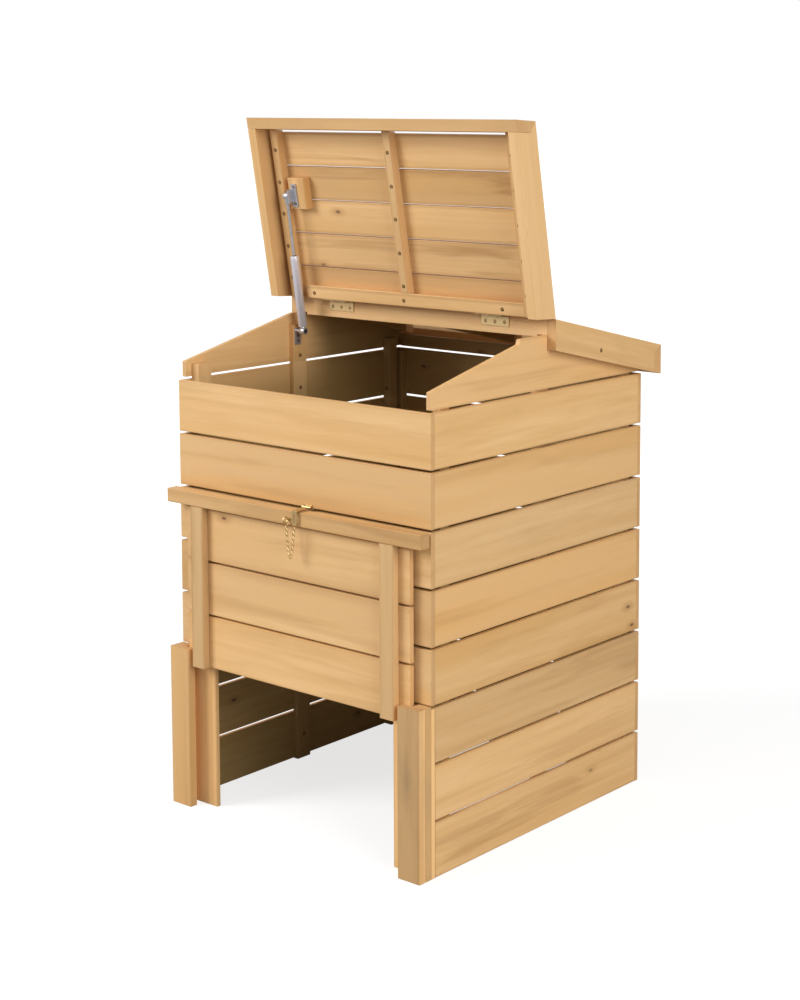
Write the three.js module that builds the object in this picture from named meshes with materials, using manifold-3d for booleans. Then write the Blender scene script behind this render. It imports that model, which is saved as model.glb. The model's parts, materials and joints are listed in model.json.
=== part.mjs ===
// A wooden compost bin: slatted walls, a front door that slides up in wooden guides, and a pitched roof
// whose front half is a lid on two butt hinges, held open by a gas strut. Millimetres, +Z up, X across the
// front, Y from the front to the back, origin on the ground under the middle.
// It is modelled as the photograph shows it, with the lid open and the door raised.
import * as THREE from 'three';
import { mergeVertices } from 'three/addons/utils/BufferGeometryUtils.js';
import Module from 'manifold-3d';

const wasm = await Module();
wasm.setup();

// Body
const bodyWidth = 526;
const bodyDepth = 526;
const rowPitch = 86;
const rowGap = 4.5;
const rowCount = 8;
const frontRowCount = 5;
const boardThickness = 8;
const seat = 0.3;
const easing = 0.8;
const runningGap = 0.1;

// Gables and posts
const gableShortFlat = 13;
const gableStep = 8;
const gableStepRun = 3;
const gableFlatClearance = 3.4;
const lidPostClearance = 5;
const frontPostSide = 16;
const frontPostAlong = 28;
const frontPostSetback = 20;
const midPostSide = 10;
const midPostAlong = 31;
const midPostOffset = -7.5;
const rearPostSide = 15;
const rearPostAlong = 20;
const rearPostSetback = 23;
const rearPostClearance = 14.2;
const backBattenWidth = 17.5;
const backBattenThickness = 14.8;
const backBattenDrop = 3.3;
const backTopBoard = 21;

// Roof
const roofPitch = THREE.MathUtils.degToRad(13.2);
const ridgeRise = 26;
const ridgeSetback = 9;
const hingeGap = 3.6;
const rearOverhang = 32;
const lidOverhang = 26;
const roofSlatCount = 5;
const roofSlatGap = 2.2;
const firstRoofSlat = 55.8;
const roofBattenWidth = 15;
const roofBattenDepth = 15;
const bargeThickness = 16.5;
const bargeClearance = 0.5;
const bargeDepth = 46.5;
const eaveThickness = 17.9;
const eaveBevel = 14;
const ridgeBoardThickness = 18;
const ridgeBoardDrop = 4;
const hingeRailRun = 21.5;
const hingeRailGap = 10;
const openAngle = THREE.MathUtils.degToRad(93.2);

// Hinges
const hingeInset = 100;
const leafLength = 54;
const leafWidth = 17;
const leafThickness = 1.3;
const pinRise = -1.2;
const knuckleRadius = 1.6;
const pinRadius = 0.8;
const knuckleCount = 5;
const knuckleGap = 0.4;

// Gas strut
const strutGap = 5.4;
const strutFootAhead = 24.7;
const strutFootDrop = 53.3;
const strutLidReach = 180.2;
const strutLidGap = 1;
const cylinderRadius = 7;
const cylinderLength = 121;
const rodRadius = 2.9;
const rodFitting = 15;
const rodInside = 28;
const cylinderFitting = 8;
const fittingRadius = 6;
const fittingWidth = 10;
const capLength = 5;
const studRadius = 3;
const studEdge = 1.2;
const bracketThickness = 1.8;
const bracketLength = 28;
const bracketWidth = 14;
const angleLength = 38;
const angleWidth = 11;
const flangeDepth = 12;
const flangeLength = 22;
const blockSide = 1;
const blockLead = 23.4;
const blockWidth = 35.5;
const blockLength = 52;

// Front opening and door guides
const jambWidth = 74;
const spacerWidth = 23;
const spacerThickness = 12.8;
const guideWidth = 42;
const guideThickness = 14;
const guideTop = 257.5;

// Door, raised
const headerBottom = 491.5;
const headerHeight = 21.8;
const headerOverhang = 2;
const headerDepth = 20;
const headerGap = 6;
const doorSlatCount = 3;
const doorSlatGap = 3.5;
const doorSlatHeight = 82.5;
const doorTopGap = 4.5;
const doorSlatSetback = 5;
const doorSideGap = 6;
const doorBattenWidth = 27;
const doorBattenInset = 50;

// Latch
const linkOffset = 21.5;
const linkWidth = 10;
const linkThickness = 1.6;
const linkDrop = 20;
const linkReach = 4;
const linkSlotWidth = 3.6;
const linkSlotLength = 14;
const linkPinRadius = 1.3;
const linkBarrelRadius = 2.4;
const linkPinRise = 4;
const latchPlateWidth = 17;
const latchPlateHeight = 6;
const latchPlateThickness = 1.2;
const eyeOffset = 5.5;
const eyeRadius = 4.6;
const eyeWire = 1.2;
const eyeDrop = 12.5;
const eyeStandoff = 3;
const chainRadius = 1.1;
const chainDrop = 51;
const chainBend = 2.6;

// Derived
const side = bodyWidth / 2;
const front = -bodyDepth / 2;
const rear = bodyDepth / 2;
const slatHeight = rowPitch - rowGap;
const wallTop = rowCount * rowPitch - rowGap;
const gableBottom = rowCount * rowPitch;
const gableTop = gableBottom + slatHeight;
const innerSide = side - boardThickness - seat;
const pitchTan = Math.tan(roofPitch);
const pitchSin = Math.sin(roofPitch);
const pitchCos = Math.cos(roofPitch);
const ridgeY = ridgeSetback;
const lidY = ridgeY - hingeGap;
const rearRun = rear + rearOverhang - ridgeY;
const lidRun = lidY - front + lidOverhang;
const slatDrop = boardThickness / pitchCos;
const ridgeHeight = gableTop + ridgeRise;
const gableLongFlat = (ridgeRise - slatDrop - gableFlatClearance) / pitchTan - lidY;
const pivot = { y: ridgeY - hingeGap / 2, z: ridgeHeight + pinRise };
const bargeInner = side + bargeClearance;
const bargeOuter = bargeInner + bargeThickness;
const roofHalfWidth = bargeInner - seat;
const battenBottom = boardThickness + seat + roofBattenDepth;
const strutLidDepth = battenBottom + strutLidGap + fittingRadius;

const wood = (r, g, b) => new THREE.MeshStandardMaterial({
  color: new THREE.Color().setRGB(r, g, b, THREE.SRGBColorSpace), roughness: 0.62, metalness: 0,
});
const materials = {
  wall: wood(0.85, 0.67, 0.46),
  frame: wood(0.87, 0.7, 0.5),
  roof: wood(0.83, 0.64, 0.43),
  zinc: new THREE.MeshStandardMaterial({ color: 0xb9b6ad, roughness: 0.38, metalness: 0.9 }),
  silver: new THREE.MeshStandardMaterial({ color: 0xd4d2d6, roughness: 0.3, metalness: 0.7 }),
  brass: new THREE.MeshStandardMaterial({ color: 0xc9a25c, roughness: 0.35, metalness: 0.9 }),
};

const bin = new THREE.Group();

function addPiece(group, name, geometry, material) {
  const mesh = new THREE.Mesh(geometry, materials[material]);
  mesh.name = name;
  group.add(mesh);
  return mesh;
}

// Solids are joined and cut through manifold-3d
function toSolid(geometry) {
  const bare = geometry.clone();
  bare.deleteAttribute('normal');
  bare.deleteAttribute('uv');
  const merged = mergeVertices(bare, 1e-4);
  return new wasm.Manifold(new wasm.Mesh({
    numProp: 3,
    vertProperties: new Float32Array(merged.attributes.position.array),
    triVerts: new Uint32Array(merged.index.array),
  }));
}

function toGeometry(solid) {
  const mesh = solid.getMesh();
  const geometry = new THREE.BufferGeometry();
  geometry.setAttribute('position', new THREE.BufferAttribute(new Float32Array(mesh.vertProperties), 3));
  geometry.setIndex(new THREE.BufferAttribute(new Uint32Array(mesh.triVerts), 1));
  geometry.computeVertexNormals();
  return geometry;
}

const joined = (geometries) => toGeometry(geometries.map(toSolid).reduce((a, b) => a.add(b)));
const cut = (geometry, tools) => (
  toGeometry(tools.map(toSolid).reduce((a, b) => a.subtract(b), toSolid(geometry)))
);

// An outline with every corner cut back by the easing of a planed board
function eased(outline, amount = easing) {
  const points = outline.map(([u, v]) => new THREE.Vector2(u, v));
  return points.flatMap((corner, i) => {
    const before = points[(i + points.length - 1) % points.length];
    const after = points[(i + 1) % points.length];
    return [before, after].map((end) => {
      const step = end.clone().sub(corner).setLength(amount);
      return [corner.x + step.x, corner.y + step.y];
    });
  });
}

const rectangle = (u0, u1, v0, v1) => [[u0, v0], [u1, v0], [u1, v1], [u0, v1]];

// Sweeps an outline along an axis: outlines are (y, z) for x, (x, z) for y and (x, y) for z
function sweep(axis, outline, from, to) {
  const points = axis === 'y' ? outline.map(([x, z]) => [z, x]) : outline;
  const shape = new THREE.Shape(points.map(([u, v]) => new THREE.Vector2(u, v)));
  const geometry = new THREE.ExtrudeGeometry(shape, { depth: to - from, bevelEnabled: false });
  geometry.translate(0, 0, from);
  const [X, Y, Z] = [new THREE.Vector3(1, 0, 0), new THREE.Vector3(0, 1, 0), new THREE.Vector3(0, 0, 1)];
  const bases = { x: [Y, Z, X], y: [Z, X, Y], z: [X, Y, Z] };
  return geometry.applyMatrix4(new THREE.Matrix4().makeBasis(...bases[axis]));
}

// A planed board: its long edges, which run along the axis, are eased
function plank(axis, x, y, z) {
  const ends = { x, y, z };
  const others = { x: [y, z], y: [x, z], z: [x, y] }[axis];
  return sweep(axis, eased(rectangle(...others[0], ...others[1])), ...ends[axis]);
}

const block = (x, y, z) => sweep('z', rectangle(...x, ...y), ...z);

function rod(axis, radius, u, v, from, to, sides = 24) {
  const outline = Array.from({ length: sides }, (_, i) => {
    const angle = (i + 0.5) * 2 * Math.PI / sides;
    return [u + radius * Math.cos(angle), v + radius * Math.sin(angle)];
  });
  return sweep(axis, outline, from, to);
}

const mirrored = (sign, a, b) => (sign > 0 ? [a, b] : [-b, -a]);
const rowBottom = (row) => (rowCount - row) * rowPitch;
const rowSpan = (row) => [rowBottom(row), rowBottom(row) + slatHeight];

// Height of the underside of the side battens of the roof
function battenUnderside(y) {
  const run = y < lidY ? lidY - y : Math.max(0, y - ridgeY);
  return ridgeHeight - run * pitchTan - battenBottom / pitchCos;
}

// A post stands on the ground against the side boards, with its top cut level under the roof's battens
function post(sign, inside, [y0, y1], bite = 0) {
  const clearance = y1 < lidY ? lidPostClearance : rearPostClearance;
  const top = Math.min(battenUnderside(y0) - clearance, battenUnderside(y1) - clearance, gableTop - seat);
  return plank('z', mirrored(sign, innerSide - inside, innerSide + bite), [y0, y1], [0, top]);
}

// The two side panels are one panel, the right one turned half round
const rearPostEnd = rear - boardThickness - rearPostSetback;
const leftPosts = [
  ['front', frontPostSide, [front + frontPostSetback, front + frontPostSetback + frontPostAlong]],
  ['middle', midPostSide, [midPostOffset - midPostAlong / 2, midPostOffset + midPostAlong / 2]],
  ['rear', rearPostSide, [rearPostEnd - rearPostAlong, rearPostEnd]],
];
const turnedNames = { front: 'rear', middle: 'middle', rear: 'front' };
const slatEnds = rear - boardThickness - seat;
const sideSlat = (sign, row) => plank(
  'y', mirrored(sign, side - boardThickness, side), [-slatEnds, slatEnds], rowSpan(row),
);

// The gable board laps the front wall on the right and the back wall on the left. Its longer slope starts
// with a step down from the flat middle.
function gable(sign) {
  const longSlope = (-front - gableLongFlat - gableStepRun) * pitchTan;
  const outline = [
    [front, gableBottom], [slatEnds, gableBottom],
    [slatEnds, gableTop - (slatEnds - gableShortFlat) * pitchTan], [gableShortFlat, gableTop],
    [-gableLongFlat, gableTop], [-gableLongFlat - gableStepRun, gableTop - gableStep],
    [front, gableTop - gableStep - longSlope],
  ];
  const turned = outline.map(([y, z]) => [sign * y, z]);
  return sweep('x', eased(turned), ...mirrored(sign, side - boardThickness, side));
}

function buildWalls() {
  for (let row = 1; row <= rowCount; row += 1) {
    addPiece(bin, `right_slat_${row}`, sideSlat(1, row), 'wall');
  }
  addPiece(bin, 'right_gable', gable(1), 'wall');
  for (const [name, inside, [y0, y1]] of leftPosts) {
    addPiece(bin, `right_${turnedNames[name]}_post`, post(1, inside, [-y1, -y0]), 'frame');
  }

  // The left side and the back are each screwed up as one panel
  const bite = 2 * seat;
  const leftSlats = Array.from({ length: rowCount }, (_, i) => sideSlat(-1, i + 1));
  const leftFeet = leftPosts.map(([, inside, span]) => post(-1, inside, span, bite));
  addPiece(bin, 'left_panel', joined([...leftSlats, gable(-1), ...leftFeet]), 'wall');

  const backFace = [rear - boardThickness, rear];
  const backSlat = (row) => plank('x', [-side, side], backFace, rowSpan(row));
  const backSlats = Array.from({ length: rowCount }, (_, i) => backSlat(i + 1));
  const topBoard = [gableBottom, gableBottom + backTopBoard];
  // The left batten stands in the corner and ends below the top board. The right one clears the post beside it.
  const battenY = [backFace[0] - backBattenThickness, backFace[0] + bite];
  const battens = [
    [1, innerSide - frontPostSide - seat, topBoard[1] - easing],
    [-1, innerSide - seat, wallTop - backBattenDrop],
  ].map(([sign, outer, top]) => (
    plank('z', mirrored(sign, outer - backBattenWidth, outer), battenY, [0, top])
  ));
  backSlats.push(plank('x', [-innerSide, innerSide], backFace, topBoard));
  addPiece(bin, 'back_panel', joined([...backSlats, ...battens]), 'wall');
}

function buildFront() {
  for (let row = 1; row <= frontRowCount; row += 1) {
    const slat = plank('x', [-side, side], [front, front + boardThickness], rowSpan(row));
    addPiece(bin, `front_slat_${row}`, slat, 'wall');
  }
  const jambTop = rowBottom(frontRowCount) - rowGap;
  const spacerFront = front - seat - spacerThickness;
  for (const [name, sign] of [['left', -1], ['right', 1]]) {
    const jamb = plank(
      'z', mirrored(sign, side - jambWidth, side), [front, front + boardThickness], [0, jambTop],
    );
    addPiece(bin, `${name}_jamb`, jamb, 'frame');
    const spacer = plank(
      'z', mirrored(sign, side - spacerWidth, side), [spacerFront, front - seat], [0, guideTop],
    );
    addPiece(bin, `${name}_guide_spacer`, spacer, 'frame');
    const guide = plank(
      'z', mirrored(sign, side - guideWidth, side), [spacerFront - seat - guideThickness, spacerFront - seat],
      [0, guideTop],
    );
    addPiece(bin, `${name}_guide`, guide, 'frame');
  }
}

// Points of a roof half, s down the slope from the ridge and n below its outer surface, as (y, z)
const lidPoint = (s, n) => [lidY - s * pitchCos + n * pitchSin, ridgeHeight - s * pitchSin - n * pitchCos];
const rearPoint = (s, n) => [ridgeY + s * pitchCos - n * pitchSin, ridgeHeight - s * pitchSin - n * pitchCos];
// The same with the run along y and the drop below the outer surface
const lidDrop = (run, drop) => [lidY - run, ridgeHeight - run * pitchTan - drop];
const rearDrop = (run, drop) => [ridgeY + run, ridgeHeight - run * pitchTan - drop];

const bargeDrop = bargeDepth / pitchCos;
const eaveBevelDrop = eaveBevel / pitchCos;
const battenOuter = innerSide - seat;
const sideBattenX = [battenOuter - roofBattenWidth, battenOuter];
const strutOffset = sideBattenX[0] - strutGap - cylinderRadius;
const blockOuter = strutOffset + blockSide;
const midBattenX = [-roofBattenWidth / 2, roofBattenWidth / 2];

// The first slat is cut plumb at the ridge, and the last one ends a gap short of the eave board
function roofSlat(point, run, i) {
  const lastEnd = (run - eaveThickness) / pitchCos - roofSlatGap;
  const pitch = (lastEnd - firstRoofSlat) / (roofSlatCount - 1);
  const end = firstRoofSlat + i * pitch;
  const start = i ? end - pitch + roofSlatGap : 0;
  const lowerStart = i ? start : boardThickness * pitchTan;
  const outline = [
    point(start, 0), point(end, 0), point(end, boardThickness), point(lowerStart, boardThickness),
  ];
  return sweep('x', eased(outline, easing / 2), -roofHalfWidth, roofHalfWidth);
}

// Under the slats, with both ends cut plumb, from one run to another
function underSlats(drop, x, from, to, top = boardThickness + seat) {
  const [upper, lower] = [top / pitchCos, battenBottom / pitchCos];
  return sweep('x', eased([drop(from, upper), drop(to, upper), drop(to, lower), drop(from, lower)]), ...x);
}

function bargeboard(drop, run, sign) {
  const eaveInner = run - eaveThickness - seat;
  const outline = [
    drop(0, 0), drop(run - seat, 0), drop(eaveInner, eaveBevelDrop), drop(eaveInner, bargeDrop),
    drop(0, bargeDrop),
  ];
  return sweep('x', outline, ...mirrored(sign, bargeInner, bargeOuter));
}

// The eave board is bevelled along its top edge, under the tips of the bargeboards
function eaveBoard(drop, run) {
  const inner = run - eaveThickness;
  const outline = [drop(run, 0), drop(run, bargeDrop), drop(inner, bargeDrop), drop(inner, eaveBevelDrop)];
  return sweep('x', outline, -bargeOuter, bargeOuter);
}

function buildRearRoof() {
  const bite = seat;
  const ridgeBack = ridgeY + ridgeBoardThickness;
  const underside = (y) => ridgeHeight - (y - ridgeY) * pitchTan - (boardThickness - bite) / pitchCos;
  const ridgeBoard = sweep('x', eased([
    [ridgeY, gableTop + seat], [ridgeBack, gableTop + seat],
    [ridgeBack, underside(ridgeBack)], [ridgeY, underside(ridgeY)],
  ], easing / 4), -roofHalfWidth, roofHalfWidth);
  // Between the middle posts the ridge board hangs below the gables
  const betweenPosts = innerSide - midPostSide - 2 * seat;
  const lowerEdge = plank(
    'x', [-betweenPosts, betweenPosts], [ridgeY, ridgeBack],
    [gableTop - ridgeBoardDrop, gableTop + 2 * easing],
  );
  const slats = Array.from({ length: roofSlatCount }, (_, i) => roofSlat(rearPoint, rearRun, i));
  const battenFrom = ridgeBoardThickness + seat;
  const battenTo = rearRun - eaveThickness - seat;
  const battens = [mirrored(-1, ...sideBattenX), midBattenX, sideBattenX].map(
    (x) => underSlats(rearDrop, x, battenFrom, battenTo, boardThickness - bite),
  );
  addPiece(bin, 'rear_roof_deck', joined([...slats, ...battens, ridgeBoard, lowerEdge]), 'roof');
  addPiece(bin, 'rear_eave_board', eaveBoard(rearDrop, rearRun), 'roof');
  addPiece(bin, 'rear_left_bargeboard', bargeboard(rearDrop, rearRun, -1), 'roof');
  addPiece(bin, 'rear_right_bargeboard', bargeboard(rearDrop, rearRun, 1), 'roof');
}

// The lid is laid out shut, inside a group that turns it open about the hinge pins
const lidTurn = new THREE.Group();
lidTurn.position.set(0, pivot.y, pivot.z);
lidTurn.rotation.x = -openAngle;
const lid = new THREE.Group();
lid.position.set(0, -pivot.y, -pivot.z);
lidTurn.add(lid);
bin.add(lidTurn);

function buildLid() {
  for (let i = 0; i < roofSlatCount; i += 1) {
    addPiece(lid, `lid_slat_${i + 1}`, roofSlat(lidPoint, lidRun, i), 'roof');
  }
  const battenTo = lidRun - eaveThickness - seat;
  addPiece(lid, 'lid_left_batten', underSlats(lidDrop, mirrored(-1, ...sideBattenX), 0, battenTo), 'roof');
  addPiece(lid, 'lid_right_batten', underSlats(lidDrop, sideBattenX, 0, battenTo), 'roof');
  addPiece(lid, 'lid_middle_batten', underSlats(lidDrop, midBattenX, hingeRailRun + seat, battenTo), 'roof');
  const railX = [-strutOffset + hingeRailGap, sideBattenX[0] - seat];
  addPiece(lid, 'lid_hinge_rail', underSlats(lidDrop, railX, 0, hingeRailRun), 'roof');
  addPiece(lid, 'lid_eave_board', eaveBoard(lidDrop, lidRun), 'roof');
  addPiece(lid, 'lid_left_bargeboard', bargeboard(lidDrop, lidRun, -1), 'roof');
  addPiece(lid, 'lid_right_bargeboard', bargeboard(lidDrop, lidRun, 1), 'roof');
  const blockTop = boardThickness + seat;
  const [blockStart, blockEnd] = [strutLidReach - blockLead, strutLidReach - blockLead + blockLength];
  const blockOutline = [
    lidPoint(blockStart, blockTop), lidPoint(blockEnd, blockTop),
    lidPoint(blockEnd, battenBottom), lidPoint(blockStart, battenBottom),
  ];
  const strutBlock = sweep('x', eased(blockOutline), -blockOuter, -blockOuter + blockWidth);
  addPiece(lid, 'lid_strut_block', strutBlock, 'frame');
}

// Butt hinges: the leaves hang from the pin onto the plumb faces of the ridge board and of the lid
function buildHinge(name, centre) {
  const start = centre - leafLength / 2;
  const share = leafLength / knuckleCount;
  const spans = Array.from({ length: knuckleCount }, (_, i) => [
    start + i * share + (i ? knuckleGap / 2 : 0),
    start + (i + 1) * share - (i < knuckleCount - 1 ? knuckleGap / 2 : 0),
  ]);
  const knuckle = ([x0, x1]) => rod('x', knuckleRadius, pivot.y, pivot.z, x0, x1, 20);
  const pin = rod('x', pinRadius, pivot.y, pivot.z, start, start + leafLength, 12);
  const bore = rod(
    'x', pinRadius + runningGap, pivot.y, pivot.z, start - seat, start + leafLength + seat, 12,
  );
  const clearing = knuckleRadius + seat;
  const plate = (sign, face) => block(
    [start, start + leafLength], sign > 0 ? [face - leafThickness, face] : [face, face + leafThickness],
    [pivot.z - leafWidth, pivot.z],
  );
  const notch = ([x0, x1]) => block(
    [x0 - knuckleGap, x1 + knuckleGap], [pivot.y - clearing, pivot.y + clearing],
    [pivot.z - clearing, pivot.z + clearing],
  );
  const odd = spans.filter((_, i) => i % 2 === 0);
  const even = spans.filter((_, i) => i % 2 === 1);
  const fixedPlate = cut(plate(1, ridgeY - seat), even.map(notch));
  const movingPlate = cut(plate(-1, lidY + seat), odd.map(notch));
  addPiece(bin, `${name}_hinge_fixed_leaf`, joined([fixedPlate, ...odd.map(knuckle), pin]), 'zinc');
  const movingLeaf = cut(joined([movingPlate, ...even.map(knuckle)]), [bore]);
  addPiece(lid, `${name}_hinge_moving_leaf`, movingLeaf, 'zinc');
}

// The gas strut, between a stud on the left middle post and a stud on the lid's block
const strutFoot = { y: pivot.y - strutFootAhead, z: pivot.z - strutFootDrop };
const [headShutY, headShutZ] = lidPoint(strutLidReach, strutLidDepth);

function turnedOpen(y, z) {
  const [dy, dz] = [y - pivot.y, z - pivot.z];
  const [c, s] = [Math.cos(openAngle), Math.sin(openAngle)];
  return { y: pivot.y + dy * c + dz * s, z: pivot.z - dy * s + dz * c };
}

function buildStrut() {
  const head = turnedOpen(headShutY, headShutZ);
  const length = Math.hypot(head.y - strutFoot.y, head.z - strutFoot.z);
  const strut = new THREE.Group();
  strut.position.set(-strutOffset, strutFoot.y, strutFoot.z);
  strut.rotation.x = Math.atan2(strutFoot.y - head.y, head.z - strutFoot.z);
  bin.add(strut);

  const half = fittingWidth / 2;
  const footEye = cut(
    joined([
      rod('x', fittingRadius, 0, 0, -half, half),
      rod('z', fittingRadius * 0.7, 0, 0, 0, cylinderFitting + seat),
    ]),
    [rod('x', studRadius + runningGap, 0, 0, -fittingWidth, fittingWidth)],
  );
  const barrelTop = cylinderFitting + cylinderLength;
  const barrel = rod('z', cylinderRadius, 0, 0, cylinderFitting, barrelTop - capLength, 32);
  const cap = rod('z', cylinderRadius * 0.9, 0, 0, barrelTop - capLength - seat, barrelTop, 32);
  const rodBore = rod('z', rodRadius + runningGap, 0, 0, cylinderFitting * 1.4, barrelTop + capLength);
  addPiece(strut, 'strut_cylinder', cut(joined([footEye, barrel, cap]), [rodBore]), 'silver');

  const rodFoot = barrelTop - rodInside;
  const headBlock = rod('z', fittingRadius * 0.8, 0, 0, length - rodFitting, length);
  const headEye = joined([
    rod('x', fittingRadius, 0, length, -half, half), headBlock,
    rod('z', rodRadius, 0, 0, rodFoot, length - rodFitting / 2),
  ]);
  addPiece(strut, 'strut_rod', headEye, 'silver');

  // Brackets: a plate on the middle post, and an angle on the lid's block, each with a stud for an eye
  const footPlateX = -innerSide + midPostSide + seat;
  const edge = studRadius + studEdge;
  const footPlate = block(
    [footPlateX, footPlateX + bracketThickness],
    [strutFoot.y - edge, strutFoot.y - edge + bracketWidth],
    [strutFoot.z + edge - bracketLength, strutFoot.z + edge],
  );
  const footStud = rod('x', studRadius, strutFoot.y, strutFoot.z, footPlateX + seat, -strutOffset + half);
  addPiece(bin, 'strut_post_bracket', joined([footPlate, footStud]), 'zinc');
  const flangeX = -strutOffset + half + 3 * seat;
  const across = (length, inner, outer) => [
    lidPoint(strutLidReach - length / 2, inner), lidPoint(strutLidReach + length / 2, inner),
    lidPoint(strutLidReach + length / 2, outer), lidPoint(strutLidReach - length / 2, outer),
  ];
  const face = battenBottom + seat;
  const base = sweep('x', across(angleLength, face, face + bracketThickness), flangeX, flangeX + angleWidth);
  const flange = sweep(
    'x', across(flangeLength, face, face + flangeDepth), flangeX, flangeX + bracketThickness,
  );
  const headStud = rod('x', studRadius, headShutY, headShutZ, flangeX - seat, flangeX + bracketThickness / 2);
  addPiece(lid, 'strut_lid_bracket', joined([base, flange, headStud]), 'zinc');
}

const doorBack = front - doorSlatSetback;
const headerFrontY = front - headerGap - headerDepth;

function buildDoor() {
  const header = plank(
    'x', [-side - headerOverhang, side + headerOverhang], [headerFrontY, headerFrontY + headerDepth],
    [headerBottom, headerBottom + headerHeight],
  );
  addPiece(bin, 'door_header', header, 'frame');
  const doorTop = headerBottom - doorTopGap;
  const slatPitch = doorSlatHeight + doorSlatGap;
  const doorSide = side - spacerWidth - doorSideGap;
  for (let row = 0; row < doorSlatCount; row += 1) {
    const top = doorTop - row * slatPitch;
    const slat = plank(
      'x', [-doorSide, doorSide], [doorBack - boardThickness, doorBack], [top - doorSlatHeight, top],
    );
    addPiece(bin, `door_slat_${row + 1}`, slat, 'wall');
  }
  const doorBottom = doorTop - doorSlatCount * slatPitch + doorSlatGap;
  for (const [name, sign] of [['left', -1], ['right', 1]]) {
    const batten = plank(
      'z', mirrored(sign, side - doorBattenInset - doorBattenWidth, side - doorBattenInset),
      [headerFrontY, doorBack - boardThickness - seat], [doorBottom, headerBottom - seat],
    );
    addPiece(bin, `door_${name}_batten`, batten, 'frame');
  }
}

function stadium(width, length, steps = 8) {
  const radius = width / 2;
  const points = [];
  for (const [end, turn] of [[1, 0], [-1, Math.PI]]) {
    for (let i = 0; i <= steps; i += 1) {
      const angle = turn + (i / steps) * Math.PI;
      points.push([radius * Math.cos(angle), end * (length / 2 - radius) + radius * Math.sin(angle)]);
    }
  }
  return points;
}

// The brass link turns on a pin in its bracket on the wall and reaches over the header
function buildLatch() {
  const headerTop = headerBottom + headerHeight;
  const pinY = front - seat - latchPlateThickness - linkBarrelRadius;
  const pinZ = headerTop + linkPinRise;
  const legY = headerFrontY - linkReach;
  const legTop = headerTop + linkThickness;
  const at = ([x, z], dx, dz) => [x + dx, z + dz];
  const arm = sweep('x', [
    [pinY, pinZ - linkThickness / 2], [pinY, pinZ + linkThickness / 2],
    [legY, legTop + linkThickness], [legY, legTop],
  ].reverse(), linkOffset - linkWidth / 2, linkOffset + linkWidth / 2);
  const legLength = linkDrop + linkThickness;
  const legCentre = legTop + linkThickness - legLength / 2;
  const place = (points) => points.map((point) => at(point, linkOffset, legCentre));
  const leg = sweep(
    'y', place(stadium(linkWidth, legLength)), legY - linkThickness / 2, legY + linkThickness / 2,
  );
  const slot = sweep('y', place(stadium(linkSlotWidth, linkSlotLength)), legY - linkWidth, legY + linkWidth);
  const barrel = rod(
    'x', linkBarrelRadius, pinY, pinZ, linkOffset - linkWidth / 2, linkOffset + linkWidth / 2,
  );
  const bore = rod(
    'x', linkPinRadius + runningGap, pinY, pinZ, linkOffset - linkWidth, linkOffset + linkWidth,
  );
  addPiece(bin, 'latch_link', cut(joined([arm, leg, barrel]), [slot, bore]), 'brass');

  const plateX = [linkOffset - latchPlateWidth / 2, linkOffset + latchPlateWidth / 2];
  const plateY = [front - seat - latchPlateThickness, front - seat];
  const plateFoot = pinZ - linkBarrelRadius;
  const latchPlate = block(plateX, plateY, [plateFoot, plateFoot + latchPlateHeight]);
  const ears = [-1, 1].map((sign) => {
    const ends = [linkWidth / 2 + seat, latchPlateWidth / 2];
    const x = mirrored(sign, ...ends).map((value) => linkOffset + value);
    return joined([
      rod('x', linkBarrelRadius, pinY, pinZ, ...x),
      block(x, [pinY, plateY[0] + seat], [pinZ - linkBarrelRadius, pinZ]),
    ]);
  });
  const pin = rod('x', linkPinRadius, pinY, pinZ, ...plateX, 16);
  addPiece(bin, 'latch_bracket', joined([latchPlate, ...ears, pin]), 'brass');

  // Screw eye in the front of the header
  const eyeZ = headerTop - eyeDrop;
  const eyeY = headerFrontY - seat - eyeStandoff - eyeRadius;
  const ring = new THREE.TorusGeometry(eyeRadius, eyeWire, 10, 28);
  ring.rotateY(Math.PI / 2);
  ring.translate(eyeOffset, eyeY, eyeZ);
  const shank = rod('y', eyeWire, eyeOffset, eyeZ, eyeY + eyeRadius, headerFrontY - seat, 12);
  const collar = rod(
    'y', eyeWire * 2, eyeOffset, eyeZ, headerFrontY - seat - eyeWire, headerFrontY - seat, 16,
  );
  addPiece(bin, 'latch_eye', joined([ring, shank, collar]), 'brass');

  // A chain hangs from the eye and comes up to the foot of the link
  const chainTop = eyeZ - eyeRadius - eyeWire - seat;
  const chainY = eyeY;
  const linkFoot = legTop + linkThickness - legLength - seat;
  const middle = (eyeOffset + linkOffset) / 2;
  const chainBottom = chainTop - chainDrop;
  const path = new THREE.CatmullRomCurve3([
    new THREE.Vector3(eyeOffset, chainY, chainTop),
    new THREE.Vector3(middle - chainBend * 1.6, chainY, chainBottom + chainDrop / 4),
    new THREE.Vector3(middle, chainY, chainBottom),
    new THREE.Vector3(middle + chainBend * 1.6, chainY, chainBottom + chainDrop / 4),
    new THREE.Vector3(linkOffset, legY, linkFoot),
  ]);
  const section = new THREE.Shape(Array.from({ length: 8 }, (_, i) => {
    const angle = (i / 8) * 2 * Math.PI;
    return new THREE.Vector2(chainRadius * Math.cos(angle), chainRadius * Math.sin(angle));
  }));
  const chain = new THREE.ExtrudeGeometry(section, { steps: 30, extrudePath: path, bevelEnabled: false });
  addPiece(bin, 'latch_chain', chain, 'brass');
}

buildWalls();
buildFront();
buildRearRoof();
buildLid();
buildHinge('left', hingeInset - side);
buildHinge('right', side - hingeInset);
buildStrut();
buildDoor();
buildLatch();

// The origin is on the ground under the middle of the part's box
bin.updateMatrixWorld(true);
const centre = new THREE.Box3().setFromObject(bin).getCenter(new THREE.Vector3());
bin.position.set(-centre.x, -centre.y, 0);

export default bin;
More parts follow.
